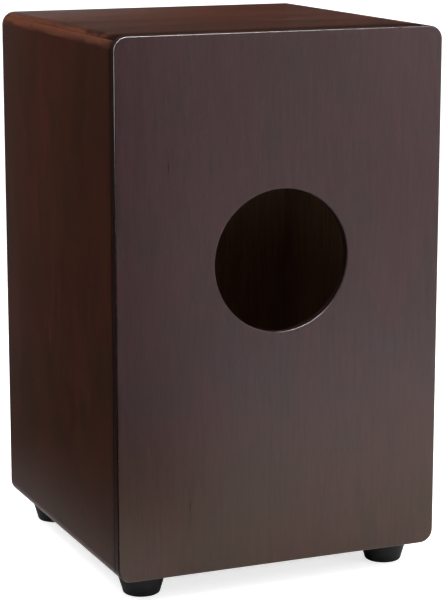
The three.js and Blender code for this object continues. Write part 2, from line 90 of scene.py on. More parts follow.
# Values of the vertex attribute "edge": above 0 the stain is rubbed down; from 0 to -1 the wood darkens, for
# dark joints and for painted shade on the rims and beside the rear panel, while the lacquer's reflection
# moves to a painted value, a painted highlight on the rear panel's rims; below -1.4 the wood is darkened
# without that change of reflection.
RUBBED, DARK_JOINT_SHADE_AND_SHEEN, DARKENED = 0.5, -1.0, -1.5


# ---- Mesh building -------------------------------------------------------------------------------

def loop(bm, points, edge=0.0):
    """A closed loop of vertices. `edge` is how worn the surface is there, or how far it is darkened and its
    reflection changed (dark joints, painted shade and painted sheen).
    """
    layer = bm.verts.layers.float["edge"]
    verts = [bm.verts.new(p) for p in points]
    for vert in verts:
        vert[layer] = edge
    return verts


def bridge(bm, first, second):
    count = len(first)
    for i in range(count):
        j = (i + 1) % count
        bm.faces.new((first[i], first[j], second[j], second[i]))


def loft(bm, rings, closed=False):
    """Joins [(points, edge), ...] ring by ring and returns the first and the last loop."""
    loops = [loop(bm, points, edge) for points, edge in rings]
    for first, second in zip(loops, loops[1:]):
        bridge(bm, first, second)
    if closed:
        bridge(bm, loops[-1], loops[0])
    return loops[0], loops[-1]


def fill(bm, loops):
    """A flat face inside the first loop and outside the others."""
    edges = []
    for verts in loops:
        for i, vert in enumerate(verts):
            other = verts[(i + 1) % len(verts)]
            edges.append(bm.edges.get((vert, other)) or bm.edges.new((vert, other)))
    bmesh.ops.triangle_fill(bm, use_beauty=True, use_dissolve=False, edges=edges)


def solid(name, material, make, marks=(), sharp=32, weighted=True):
    """An object from what make(bm) builds. `marks` names face attributes, each with its test of a face."""
    bm = bmesh.new()
    bm.verts.layers.float.new("edge")
    make(bm)
    bmesh.ops.remove_doubles(bm, verts=bm.verts, dist=1e-7)
    bmesh.ops.recalc_face_normals(bm, faces=bm.faces)
    for attribute, test in marks:
        layer = bm.faces.layers.float.new(attribute)
        for face in bm.faces:
            face[layer] = 1.0 if test(face) else 0.0
    mesh = bpy.data.meshes.new(name)
    bm.to_mesh(mesh)
    bm.free()
    mesh.polygons.foreach_set("use_smooth", [True] * len(mesh.polygons))
    mesh.set_sharp_from_angle(angle=math.radians(sharp))
    mesh.materials.append(material)
    made = bpy.data.objects.new(name, mesh)
    scene.collection.objects.link(made)
    if weighted:
        made.modifiers.new("flat_faces", "WEIGHTED_NORMAL").keep_sharp = True
    return made


def carved(target, cutter):
    """Cuts one object's mesh out of another's and removes the cutter."""
    modifier = target.modifiers.new("cut", "BOOLEAN")
    modifier.operation, modifier.solver, modifier.object = "DIFFERENCE", "EXACT", cutter
    evaluated = target.evaluated_get(bpy.context.evaluated_depsgraph_get())
    cut_mesh = bpy.data.meshes.new_from_object(evaluated)
    target.modifiers.remove(modifier)
    target.data = cut_mesh
    bpy.data.objects.remove(cutter)
    return target


def placed_copy(original, name, matrix):
    """Another object that shares the original's mesh."""
    made = original.copy()
    made.name = name
    made.matrix_world = matrix
    scene.collection.objects.link(made)
    return made


def stand_for(piece, node, body):
    """`piece` is shown in place of a CAD node."""
    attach(piece, body)
    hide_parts(node)


# ---- Outlines ------------------------------------------------------------------------------------

def arc(centre_x, centre_z, radius, start, end, steps):
    """Points of an arc in x and z. Angles are in quarter turns from +X towards +Z."""
    points = []
    for i in range(steps + 1):
        angle = (start + (end - start) * i / steps) * math.pi / 2
        points.append((centre_x + radius * math.cos(angle), centre_z + radius * math.sin(angle)))
    return points


def rounded_rectangle(half_width, half_height, radius, steps=12):
    x, z = half_width - radius, half_height - radius
    corners = ((x, z), (-x, z), (-x, -z), (x, -z))
    return [p for i, (cx, cz) in enumerate(corners) for p in arc(cx, cz, radius, i, i + 1, steps)]


def box_outline(inset, y):
    """The box's outline seen from the front, drawn in by `inset`, at one place along y."""
    points = rounded_rectangle(HALF_WIDTH - inset, HALF_HEIGHT - inset, LONG_EDGE_RADIUS - inset)
    return [(x, y, BOX_MIDDLE + z) for x, z in points]


def circle(radius, along, steps, centre=(0, 0)):
    """A circle square to Y, at `along`; its centre is in x and z."""
    turn = 2 * math.pi / steps
    return [
        (centre[0] + radius * math.cos(i * turn), along, centre[1] + radius * math.sin(i * turn))
        for i in range(steps)
    ]


def turned(bm, profile, steps, closed=False):
    """A turned shape about Y. The profile's points are (radius, along) in millimetres."""
    loft(bm, [(circle(r * MM, along * MM, steps), 0.0) for r, along in profile], closed)


def quarter_round(radius, steps):
    """(inset, depth, edge) of a rounded rim, from the face it starts on to the side it ends on."""
    for i in range(steps + 1):
        angle = math.pi / 2 * i / steps
        yield radius * (1 - math.sin(angle)), radius * (1 - math.cos(angle)), -math.sin(angle)


# ---- Materials -----------------------------------------------------------------------------------

class Look:
    """A node material, with a few shorthands for building it."""

    def __init__(self, name):
        self.material = bpy.data.materials.new(name)
        self.material.use_nodes = True
        self.tree = self.material.node_tree
        self.shader = self.tree.nodes["Principled BSDF"]
        self.place = self.node("ShaderNodeTexCoord").outputs["Object"]

    def node(self, kind, **settings):
        made = self.tree.nodes.new(kind)
        for key, value in settings.items():
            setattr(made, key, value)
        return made

    def plug(self, socket, value):
        if isinstance(value, bpy.types.NodeSocket):
            self.tree.links.new(value, socket)
        else:
            socket.default_value = value

    def math(self, operation, *values):
        made = self.node("ShaderNodeMath", operation=operation)
        for socket, value in zip(made.inputs, values):
            self.plug(socket, value)
        return made.outputs[0]

    def vector(self, operation, *values):
        made = self.node("ShaderNodeVectorMath", operation=operation)
        for socket, value in zip(made.inputs, values):
            self.plug(socket, value)
        return made.outputs[0]

    def noise(self, place, scale, detail=2.0, roughness=0.5, output="Fac"):
        made = self.node("ShaderNodeTexNoise")
        settings = {"Vector": place, "Scale": scale, "Detail": detail, "Roughness": roughness}
        for key, value in settings.items():
            self.plug(made.inputs[key], value)
        return made.outputs[output]

    def remap(self, value, low, high, to_low=0.0, to_high=1.0):
        made = self.node("ShaderNodeMapRange", interpolation_type="SMOOTHSTEP")
        for socket, number in zip(made.inputs, (value, low, high, to_low, to_high)):
            self.plug(socket, number)
        return made.outputs[0]

    def mix(self, factor, first, second, blend="MIX"):
        made = self.node("ShaderNodeMix", data_type="RGBA", blend_type=blend)
        colours = [socket for socket in made.inputs if socket.type == "RGBA"]
        self.plug(made.inputs[0], factor)
        self.plug(colours[0], first)
        self.plug(colours[1], second)
        return next(socket for socket in made.outputs if socket.type == "RGBA")

    def attribute(self, name):
        return self.node("ShaderNodeAttribute", attribute_name=name).outputs["Fac"]

    def bump(self, height, distance, strength=1.0):
        made = self.node("ShaderNodeBump")
        self.plug(made.inputs["Height"], height)
        self.plug(made.inputs["Distance"], distance)
        self.plug(made.inputs["Strength"], strength)
        return made.outputs["Normal"]

    def finish(self, **inputs):
        for key, value in inputs.items():
            self.plug(self.shader.inputs[key.replace("_", " ")], value)
        return self.material


def rgb(red, green, blue):
    return (red, green, blue, 1.0)


def times(colour, factor):
    return rgb(*(channel * factor for channel in colour[:3]))


STAIN = rgb(0.041, 0.0130, 0.0068)
PLUM_STAIN = rgb(0.0390, 0.0166, 0.0180)
SANDED_EDGE = rgb(0.132, 0.041, 0.019)
# The colour of dark joints, and of painted shade along the rims and beside the rear panel.
DARK_JOINT_AND_PAINTED_SHADE = rgb(0.012, 0.0045, 0.0032)
RAW_INSIDE = rgb(0.46, 0.32, 0.23)
PORE = rgb(0.010, 0.005, 0.004)
WARMER, COOLER = rgb(1.24, 0.93, 0.98), rgb(0.86, 1.02, 0.98)  # what the reddish patches multiply by
# Painted light: what the colour near the floor is multiplied by, a warmer, lighter tone standing in for light
# from the pale floor.
PAINTED_FLOOR_LIGHT_TINT = rgb(1.16, 1.14, 0.55)
LACQUER_IOR = 1.5
BRIGHT_RIM_IOR = 1.4  # a rim whose painted sheen reflects more than this is also polished, which narrows its painted highlight
RIM_POLISH = 0.16
ALONG_X, ALONG_Y, ALONG_Z = 0, 1, 2


def stretched(look, place, along, length):
    """Coordinates in which a pattern is drawn out along the grain: `length` is below 1."""
    factors = [1.0, 1.0, 1.0]
    factors[along] = length
    return look.vector("MULTIPLY", place, tuple(factors))


def scaled(look, vector, factor):
    made = look.vector("SCALE", vector)
    made.node.inputs["Scale"].default_value = factor
    return made


def lacquered_wood(
    name, along, seed, stain=STAIN, contrast=1.1, bands=0.05, mottle=0.65, painted_floor_light=0.5, painted_sheen_ior=1.15,
):
    """Dark stained veneer under satin lacquer, with its grain along one axis. The vertex attribute "edge"
    says where it is worn, and where it is darkened, for dark joints and painted shade, with a painted change
    of its reflection; the face attribute "inside" says where the wood is bare. `bands` is the strength of the
    broad grain, `mottle` that of the reddish patches and `painted_floor_light` that of a painted warm light
    near the floor. `painted_sheen_ior` is how strongly the lacquer reflects where "edge" is near
    DARK_JOINT_SHADE_AND_SHEEN: above 1.5 it paints a highlight on the rims, below 1.5 it paints the
    reflection dimmer."""
    look = Look(name)
    start = look.vector("ADD", look.place, (seed * 1.7, seed * 0.9, seed * 2.3))
    wander = look.noise(start, 6.0, detail=1.0, output="Color")
    wandering = look.vector("ADD", start, scaled(look, wander, 0.016))

    broad = look.noise(stretched(look, wandering, along, 0.035), 55.0)
    streak = look.noise(stretched(look, wandering, along, 0.07), 300.0, detail=3.0, roughness=0.65)
    fibre = look.noise(stretched(look, start, along, 0.10), 1000.0, roughness=0.6)
    pores = look.remap(look.noise(stretched(look, start, along, 0.08), 2100.0, detail=1.0), 0.62, 0.72)
    cloud = look.noise(stretched(look, start, along, 0.5), 13.0, detail=3.0)

    broad = look.math("MULTIPLY_ADD", look.math("SUBTRACT", broad, 0.5), bands, 0.025)
    shade = look.math("MULTIPLY_ADD", streak, 0.5, broad)
    shade = look.math("MULTIPLY_ADD", fibre, 0.3, shade)
    shade = look.math("MULTIPLY_ADD", cloud, 0.15, shade)
    light, dark = times(stain, 1 + 0.34 * contrast), times(stain, 1 - 0.34 * contrast)
    colour = look.mix(look.remap(shade, 0.36, 0.64), dark, light)
    patches = look.noise(stretched(look, start, along, 0.6), 30.0, detail=4.0, roughness=0.6)
    reddish = look.mix(look.remap(patches, 0.36, 0.64), COOLER, WARMER)
    colour = look.mix(mottle, colour, look.mix(1.0, colour, reddish, "MULTIPLY"))
    colour = look.mix(look.math("MULTIPLY", pores, 0.2), colour, PORE)
    # Painted light from the floor: the colour turns warmer and lighter from 0.20 m down to 0.05 m.
    height_above_floor = look.node("ShaderNodeSeparateXYZ")
    look.plug(height_above_floor.inputs[0], look.place)
    low = look.remap(height_above_floor.outputs["Z"], 0.20, 0.05, 0.0, painted_floor_light)
    colour = look.mix(low, colour, look.mix(1.0, colour, PAINTED_FLOOR_LIGHT_TINT, "MULTIPLY"))

    edge = look.attribute("edge")
    ragged = look.noise(stretched(look, start, ALONG_Y, 0.3), 170.0, detail=4.0, roughness=0.65)
    worn = look.remap(look.math("MULTIPLY_ADD", ragged, 3.0, edge), 1.5, 2.4)
    worn = look.math("MULTIPLY", worn, look.remap(edge, 0.05, 0.35))
    colour = look.mix(look.math("MULTIPLY", worn, 0.85), colour, SANDED_EDGE)
    # Painted shade: dark joints, the rims and the band beside the rear panel take the dark colour.
    shade_and_sheen = look.remap(edge, 0.0, DARK_JOINT_SHADE_AND_SHEEN)
    colour = look.mix(look.math("MULTIPLY", shade_and_sheen, 0.85), colour, DARK_JOINT_AND_PAINTED_SHADE)
    inside = look.attribute("inside")
    bare = look.mix(look.remap(shade, 0.35, 0.65), times(RAW_INSIDE, 0.75), times(RAW_INSIDE, 1.15))
    colour = look.mix(inside, colour, bare)

    height = look.math("MULTIPLY_ADD", fibre, 0.35, look.math("MULTIPLY", pores, -0.8))
    roughness = look.math("MULTIPLY_ADD", streak, 0.10, look.math("MULTIPLY_ADD", pores, 0.12, 0.25))
    roughness = look.math("MULTIPLY_ADD", inside, 0.4, roughness)
    # Painted highlight and painted shade of the reflection: along the darkened rims the IOR moves to the
    # material's painted value, raised on the rear panel and lowered on the walls, and a raised rim is
    # polished too.
    rim = look.math("MULTIPLY", shade_and_sheen, look.remap(edge, -1.4, -1.05))
    polish = -RIM_POLISH if painted_sheen_ior > BRIGHT_RIM_IOR else 0.0
    roughness = look.math("MULTIPLY_ADD", rim, polish, roughness)
    ior = look.math("MULTIPLY_ADD", rim, painted_sheen_ior - LACQUER_IOR, LACQUER_IOR)
    return look.finish(Base_Color=colour, Roughness=roughness, IOR=ior, Normal=look.bump(height, 0.00004))


def raw_wood(name, along, colour=rgb(0.42, 0.27, 0.14)):
    """Planed, unfinished softwood."""
    look = Look(name)
    grain = stretched(look, look.place, along, 0.05)
    bands = look.noise(grain, 120.0, detail=3.0, roughness=0.6)
    fibre = look.noise(grain, 1100.0)
    shade = look.math("MULTIPLY_ADD", fibre, 0.3, look.math("MULTIPLY", bands, 0.7))
    tone = look.mix(look.remap(shade, 0.35, 0.65), times(colour, 0.62), times(colour, 1.12))
    roughness = look.math("MULTIPLY_ADD", fibre, 0.15, 0.6)
    return look.finish(Base_Color=tone, Roughness=roughness, Normal=look.bump(shade, 0.0001))


def rubber(name):
    """Moulded black rubber: fine pebbling, with a bloom in patches."""
    look = Look(name)
    pebble = look.noise(look.place, 1500.0, detail=2.0)
    bloom = look.noise(look.place, 90.0, detail=3.0)
    colour = look.mix(look.remap(bloom, 0.35, 0.7), rgb(0.006, 0.0061, 0.0062), rgb(0.011, 0.011, 0.0108))
    roughness = look.math("MULTIPLY_ADD", bloom, 0.22, 0.42)
    return look.finish(Base_Color=colour, Roughness=roughness, IOR=1.38, Normal=look.bump(pebble, 0.00008))


def metal(name, colour, roughness, brush_axis):
    """Steel with fine drawn or brushed lines along one axis."""
    look = Look(name)
    lines = look.noise(stretched(look, look.place, brush_axis, 0.03), 4000.0, detail=2.0)
    smear = look.noise(look.place, 220.0, detail=2.0)
    tone = look.mix(look.remap(smear, 0.3, 0.7), times(colour, 0.82), colour)
    rough = look.math("MULTIPLY_ADD", lines, 0.16, look.math("MULTIPLY_ADD", smear, 0.12, roughness - 0.12))
    return look.finish(
        Base_Color=tone, Roughness=rough, Metallic=1.0, Normal=look.bump(lines, 0.00001),
    )


def black_oxide(name):
    """Blackened screw steel, rubbed bright in places."""
    look = Look(name)
    rub = look.remap(look.noise(look.place, 900.0, detail=3.0), 0.55, 0.75)
    colour = look.mix(rub, rgb(0.022, 0.021, 0.020), rgb(0.11, 0.10, 0.095))
    roughness = look.math("MULTIPLY_ADD", rub, -0.1, 0.42)
    grit = look.noise(look.place, 5000.0)
    return look.finish(
        Base_Color=colour, Roughness=roughness, Metallic=0.85, Normal=look.bump(grit, 0.00001),
    )


def cork(name):
    """Pressed cork granules."""
    look = Look(name)
    grains = look.node("ShaderNodeTexVoronoi")
    look.plug(grains.inputs["Vector"], look.place)
    look.plug(grains.inputs["Scale"], 900.0)
    speck = look.noise(look.place, 700.0, detail=3.0)
    colour = look.mix(look.remap(speck, 0.4, 0.65), rgb(0.33, 0.19, 0.09), rgb(0.10, 0.05, 0.025))
    return look.finish(
        Base_Color=colour, Roughness=0.85, Normal=look.bump(grains.outputs["Distance"], 0.0002),
    )


MATERIAL = {
    "top": lacquered_wood(
        "lacquered_top", ALONG_X, seed=1, contrast=1.4, bands=1.5, mottle=0.25, painted_sheen_ior=1.05,
    ),
    "bottom": lacquered_wood("lacquered_bottom", ALONG_X, seed=2),
    "left": lacquered_wood("lacquered_left_side", ALONG_Z, seed=3),
    "right": lacquered_wood("lacquered_right_side", ALONG_Z, seed=4),
    "rear": lacquered_wood(
        "lacquered_rear", ALONG_Z, seed=5, stain=PLUM_STAIN, contrast=0.5, mottle=0.4, painted_floor_light=1.0,
        painted_sheen_ior=2.2,
    ),
    "tapa": lacquered_wood("lacquered_tapa", ALONG_Z, seed=6, painted_sheen_ior=1.5),
    "cleat": raw_wood("raw_cleat_wood", ALONG_Y),
    "bar": raw_wood("raw_bar_wood", ALONG_X, rgb(0.50, 0.34, 0.19)),
    "block": raw_wood("raw_block_wood", ALONG_Z),
    "rubber": rubber("black_rubber"),
    "steel": metal("brushed_steel", rgb(0.56, 0.56, 0.57), 0.32, ALONG_Y),
    "wire": metal("bright_wire", rgb(0.62, 0.62, 0.63), 0.25, ALONG_Z),
    "black_steel": black_oxide("black_oxide_steel"),
    "cork": cork("pressed_cork"),
}


# ---- The box -------------------------------------------------------------------------------------

def wall_section(reach, out, inset):
    """One mitred wall's section as (along, outwards) points, drawn in by `inset` on its outer side only.
    `reach` is half the box's size along the wall, and `out` is from the middle to its outer face.
    The mitre's outer edge is broken, so that the joint shows as a fine line."""
    radius = LONG_EDGE_RADIUS - inset
    centre = (reach - LONG_EDGE_RADIUS, out - LONG_EDGE_RADIUS)
    quarter = math.pi / 2
    mitre = 0.5 + math.asin(GLUE_LINE / 2 / radius) / quarter
    broken = arc(*centre, radius - EASE, mitre, mitre, 1)[:1]
    corner = broken + arc(*centre, radius, mitre + EASE / radius / quarter, 1, 14)
    mirrored = [(-along, outwards) for along, outwards in reversed(corner)]
    inner = reach - WALL - GLUE_LINE / 2 * math.sqrt(2)
    return [(-inner, out - WALL), (inner, out - WALL), *corner, *mirrored]


def long_edge_wear(along, reach):
    """How far a point is round a long edge: 0 where the wall turns flat, 1 at the mitre."""
    excess = (abs(along) - (reach - LONG_EDGE_RADIUS)) / (LONG_EDGE_RADIUS * math.sin(math.pi / 4))
    return min(1.0, max(0.0, excess))


def wall(node, material, reach, out, turn, shade_band=PAINTED_SHADE_BAND, shade_strength=0.4, rubbed=1.0):
    """A wall of the shell. `turn` is its quarter turns from the top wall, about the box's middle.
    `shade_band` is how far the painted shade beside the rear panel reaches, `shade_strength` its strength
    near the joint, and `rubbed` how far the long edges are rubbed through."""
    front, rear = TAPA_HIGH.y, REAR_LOW.y
    spin = Matrix.Rotation(turn * math.pi / 2, 4, "Y")
    middle = Vector((0, 0, BOX_MIDDLE))

    def make(bm):
        wear = bm.verts.layers.float["edge"]
        loops = []
        # Each station is (y, how far the section is drawn in, how much painted shade and dimmer reflection it
        # takes, darkest at the joint).
        stations = (
            (front, EASE, 0), (front + EASE, 0, 0),
            (rear - shade_band, 0, 0), (rear - 0.6 * shade_band, 0, -0.4 * shade_strength),
            (rear - 0.25 * shade_band, 0, -shade_strength), (rear - EASE, 0, -0.85), (rear, EASE, -0.9),
        )
        for y, inset, shade_and_sheen in stations:
            section = wall_section(reach, out, inset)
            verts = loop(bm, [spin @ Vector((along, y, outwards)) + middle for along, outwards in section])
            for vert, (along, outwards) in zip(verts[2:], section[2:]):
                vert[wear] = long_edge_wear(along, reach) * rubbed * (1 + shade_and_sheen) + shade_and_sheen
            loops.append(verts)
        for first, second in zip(loops, loops[1:]):
            bridge(bm, first, second)
        fill(bm, [loops[0]])
        fill(bm, [loops[-1]])

    outwards = spin @ Vector((0, 0, 1))
    inner_face = ("inside", lambda face: face.normal.dot(outwards) < -0.9)
    piece = solid("lacquered_" + node, material, make, marks=[inner_face], sharp=40)
    stand_for(piece, node, "box")


def shell():
    wall("top_panel", MATERIAL["top"], HALF_WIDTH, HALF_HEIGHT, 0, TOP_PAINTED_SHADE_BAND, 0.85, 0.62)
    wall("right_side_panel", MATERIAL["right"], HALF_HEIGHT, HALF_WIDTH, 1)
    wall("bottom_panel", MATERIAL["bottom"], HALF_WIDTH, HALF_HEIGHT, 2)
    wall("left_side_panel", MATERIAL["left"], HALF_HEIGHT, HALF_WIDTH, 3)


def place_hole_rim_highlight(bm, rear):
    """Keeps the painted highlight of the hole's rim, its dark colour and raised reflection, only near the
    bottom of the rim towards -X, and weakens it elsewhere.
    """
    wear = bm.verts.layers.float["edge"]
    weaker_elsewhere, highlight_at, highlight_sharpness = 0.3, math.radians(256), 9
    for vert in bm.verts:
        x, z = vert.co.x, vert.co.z - HOLE_HEIGHT
        if math.hypot(x, z) < HOLE_RADIUS + 2 * HOLE_RIM_RADIUS and vert.co.y > rear - HOLE_RIM_RADIUS:
            highlight_weight = max(0.0, math.cos(math.atan2(z, x) - highlight_at)) ** highlight_sharpness
            vert[wear] *= weaker_elsewhere + (1 - weaker_elsewhere) * highlight_weight


def rear_panel():
    front, rear = REAR_LOW.y, REAR_HIGH.y

    def hole(grown, y):
        return circle(HOLE_RADIUS + grown, y, 160, (0, HOLE_HEIGHT))

    def make(bm):
        seam = [(box_outline(EASE, front), DARKENED), (box_outline(0, front + EASE), DARKENED)]
        seam.append((box_outline(0, rear - RIM_RADIUS - EASE), DARKENED))
        # The rim's rounding is dark with painted shade, and takes the material's painted highlight.
        round_over = quarter_round(RIM_RADIUS, 8)
        rim = [(box_outline(inset, rear - depth), edge) for inset, depth, edge in round_over]
        outer_front, outer_rear = loft(bm, seam + rim[::-1])
        ease = [
            (hole(inset, front + depth), RUBBED) for inset, depth, _ in quarter_round(HOLE_INNER_EASE, 3)
        ]
        bore_ends = (front + 2 * HOLE_INNER_EASE, rear - HOLE_RIM_RADIUS - EASE)
        bore = [(hole(0, y), DARKENED) for y in bore_ends]
        # The hole's rim: dark with painted shade, and a painted highlight near its bottom towards -X.
        round_over = quarter_round(HOLE_RIM_RADIUS, 5)
        rim = [(hole(inset, rear - depth), edge) for inset, depth, edge in round_over]
        hole_front, hole_rear = loft(bm, ease + bore + rim[::-1])
        place_hole_rim_highlight(bm, rear)
        fill(bm, [outer_front, hole_front])
        fill(bm, [outer_rear, hole_rear])

    marks = [("inside", lambda face: face.normal.y < -0.9)]
    piece = solid("lacquered_rear_panel", MATERIAL["rear"], make, marks)
    stand_for(piece, "rear_panel", "box")


def tapa():
    front, back = TAPA_LOW.y, TAPA_HIGH.y
    countersink, head_height, clearance = 3.75 * MM, 2.2 * MM, 1.85 * MM

    def make(bm):
        round_over = quarter_round(TAPA_EASE, 5)
        rim = [(box_outline(inset, front + depth), edge) for inset, depth, edge in round_over]
        seam = [(box_outline(0, back - EASE), DARK_JOINT_SHADE_AND_SHEEN), (box_outline(EASE, back), DARK_JOINT_SHADE_AND_SHEEN)]
        loops = [loft(bm, rim + seam)]
        for low, high in screw_boxes("tapa_screw"):
            centre = ((low.x + high.x) / 2, (low.z + high.z) / 2)
            sizes = ((countersink, front), (clearance, front + head_height), (clearance, back))
            loops.append(loft(bm, [(circle(radius, y, 32, centre), 0.0) for radius, y in sizes]))
        fill(bm, [first for first, _ in loops])
        fill(bm, [last for _, last in loops])

    marks = [("inside", lambda face: face.normal.y > 0.9)]
    piece = solid("lacquered_tapa", MATERIAL["tapa"], make, marks)
    stand_for(piece, "tapa", "box")


# ---- Screws --------------------------------------------------------------------------------------

# Each kind of screw in millimetres, as in the CAD model. The head's face is at 0, the tip at `length`.
COUNTERSUNK = {"head_radius": 3.6, "head_height": 2.2, "shank": 1.7, "length": 18, "domed": False}
FOOT_SCREW = {"head_radius": 4.2, "head_height": 2.8, "shank": 2.0, "length": 23.5, "domed": True}
CLIP_SCREW = {"head_radius": 3.0, "head_height": 1.9, "shank": 1.5, "length": 13, "domed": True}


def screw_boxes(prefix):
    return [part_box(node) for node in sorted(nodes) if node.startswith(prefix)]


def screw_profile(head_radius, head_height, shank, length, domed):
    if domed:
        head = [(0, 0)]
        for i in range(7):
            angle = math.radians(15 * i)
            radius = head_radius * (0.55 + 0.45 * math.sin(angle))
            head.append((radius, head_height * 0.6 * (1 - math.cos(angle))))
        head += [(head_radius, head_height - 0.1), (head_radius - 0.1, head_height)]
    else:
        head = [(0, 0), (head_radius - 0.15, 0), (head_radius, 0.12), (head_radius - 0.02, 0.3)]
    core, pitch = shank * 0.68, 1.3
    point = length - 2 * shank
    thread = [(shank * 0.8, head_height), (shank * 0.8, head_height + 1)]
    along = head_height + 1 + pitch / 2
    while along < point:
        thread += [(core, along - pitch * 0.4), (shank, along), (shank, along + pitch * 0.08)]
        along += pitch
    return [*head, *thread, (core, point), (0, length)]


def cross_recess(reach, depth):
    """A cutter for a cross slot: a tapered plus that starts in front of the head's face."""
    in_front = -0.5

    def plus(arm, half_slot, along):
        points = []
        for turn in range(4):
            cosine, sine = math.cos(turn * math.pi / 2), math.sin(turn * math.pi / 2)
            for x, z in ((half_slot, -half_slot), (arm, -half_slot), (arm, half_slot)):
                points.append(((x * cosine - z * sine) * MM, along * MM, (x * sine + z * cosine) * MM))
        return points

    def make(bm):
        mouth, bottom = plus(reach, 0.2 * reach, in_front), plus(0.5 * reach, 0.13 * reach, depth)
        first, last = loft(bm, [(mouth, 0.0), (bottom, 0.0)])
        fill(bm, [first])
        fill(bm, [last])

    return solid("cross_cutter", MATERIAL["black_steel"], make, weighted=False)


def screw_pattern(kind):
    """One screw about Y that its copies share. The caller removes it."""
    profile = screw_profile(**kind)
    made = solid("screw_pattern", MATERIAL["black_steel"], lambda bm: turned(bm, profile, 32))
    recess = cross_recess(kind["head_radius"] * 0.62, kind["head_height"] * 0.85)
    return carved(made, recess)


def pointing(direction, place):
    """The placement that turns +Y to `direction`."""
    turn = Vector((0, 1, 0)).rotation_difference(Vector(direction))
    return Matrix.Translation(place) @ turn.to_matrix().to_4x4()


def screws(kind, prefix, body, direction):
    """A screw for every CAD node whose name starts with `prefix`; its head faces against `direction`."""
    pattern = screw_pattern(kind)
    direction = Vector(direction)
    for node in sorted(n for n in nodes if n.startswith(prefix)):
        low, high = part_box(node)
        head = (low + high) / 2 - direction * kind["length"] / 2 * MM
        piece = placed_copy(pattern, "fine_" + node, pointing(direction, head))
        stand_for(piece, node, body)
    bpy.data.objects.remove(pattern)


# ---- Feet ----------------------------------------------------------------------------------------

# The foot's sizes in millimetres, as in the CAD model.
FOOT = {"height": 21, "top": 22, "bottom": 16.5, "edge": 2.5, "pocket": 7.5, "pocket_depth": 11, "bore": 2.15}
FOOT_WASHER = {"outer": 7.2, "inner": 2.3, "thickness": 1.0}
FRICTION_WASHER = {"outer": 11, "inner": 4.4, "thickness": 1.8}


def foot_profile(height, top, bottom, edge, pocket, pocket_depth, bore):
    profile = [(pocket, 0.5), (pocket + 0.15, 0.15), (pocket + 0.5, 0)]
    for i in range(9):
        angle = math.pi / 2 * i / 8
        profile.append((bottom - edge * (1 - math.sin(angle)), edge * (1 - math.cos(angle))))
    profile += [(top - 0.1, height - 0.45), (top - 0.15, height - 0.15), (top - 0.5, height)]
    profile += [(bore, height), (bore, pocket_depth)]
    return [*profile, (pocket - 0.3, pocket_depth), (pocket, pocket_depth - 0.3)]


def washer_profile(outer, inner, thickness):
    ease = 0.15 * thickness
    return [
        (inner, ease), (inner + ease, 0), (outer - ease, 0), (outer, ease),
        (outer, thickness - ease), (outer - ease, thickness),
        (inner + ease, thickness), (inner, thickness - ease),
    ]


def turned_pieces(prefix, material, profile, direction, closed=True, steps=64):
    """A turned piece for every CAD node whose name starts with `prefix`. Its profile starts at the node's
    low end along `direction`."""
    pattern = solid(prefix + "_pattern", material, lambda bm: turned(bm, profile, steps, closed))
    direction = Vector(direction)
    for node in sorted(n for n in nodes if n.startswith(prefix)):
        low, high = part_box(node)
        half = Vector(abs(d) * size / 2 for d, size in zip(direction, high - low))
        piece = placed_copy(pattern, "fine_" + node, pointing(direction, (low + high) / 2 - half))
        stand_for(piece, node, "snare" if node.startswith("pivot_pin") else "box")
    bpy.data.objects.remove(pattern)


def feet():
    up = (0, 0, 1)
    turned_pieces("foot_washer", MATERIAL["steel"], washer_profile(**FOOT_WASHER), up)
    for node in ("foot_front", "foot_rear"):
        turned_pieces(node, MATERIAL["rubber"], foot_profile(**FOOT), up, steps=96)
    screws(FOOT_SCREW, "foot_screw", "box", up)


# ---- Snare ---------------------------------------------------------------------------------------

# The snare's sizes in millimetres, as in the CAD model.
STRANDS = 10
STRAND_RADIUS = 1.2
STRAND_SPACING = 4.6
STRAND_LENGTH = 108
STRAND_GAP = 0.3  # between a strand's tip and the tapa
STRAND_SUNK = 0.2  # into the clip
SPLAY = math.radians(12)
SNARE_OFFSET = 62
CLIP = {"width": 54, "height": 13, "thickness": 1.2, "below_bar_top": 9, "screw_offset": 18}
CLIP_CORNER = 1.5
CLIP_HOLE_RADIUS = 1.65
STRAND_BELOW_CLIP_TOP = 2.4
# The strip that holds the strands' ends down on the clip.
STRIP = {"below_clip_top": 1.5, "shorter": 1.5, "half_height": 1.4, "corner": 0.6, "proud": 1.3}
WIRE_RADIUS = 0.27
COIL_PITCH = 1.45
PIN = {"pivot_pin": (4, 30), "stop_pin": (2.5, 28)}


def coil(bm, base, direction, length, radius, wire):
    """A coiled wire that starts at `base`."""
    side = Vector((1, 0, 0))
    other = direction.cross(side).normalized()
    turns = length / (COIL_PITCH * MM)
    corners, steps = 5, 9  # corners of the wire's section, and sections in one turn of the coil
    rings = []
    for i in range(round(turns * steps) + 1):
        angle = 2 * math.pi * i / steps
        outward = side * math.cos(angle) + other * math.sin(angle)
        centre = base + direction * (length * i / (turns * steps)) + outward * (radius - wire)
        ring = []
        for k in range(corners):
            turn = 2 * math.pi * k / corners
            ring.append(centre + outward * (wire * math.cos(turn)) + direction * (wire * math.sin(turn)))
        rings.append((ring, 0.0))
    first, last = loft(bm, rings)
    bm.faces.new(first)
    bm.faces.new(last)


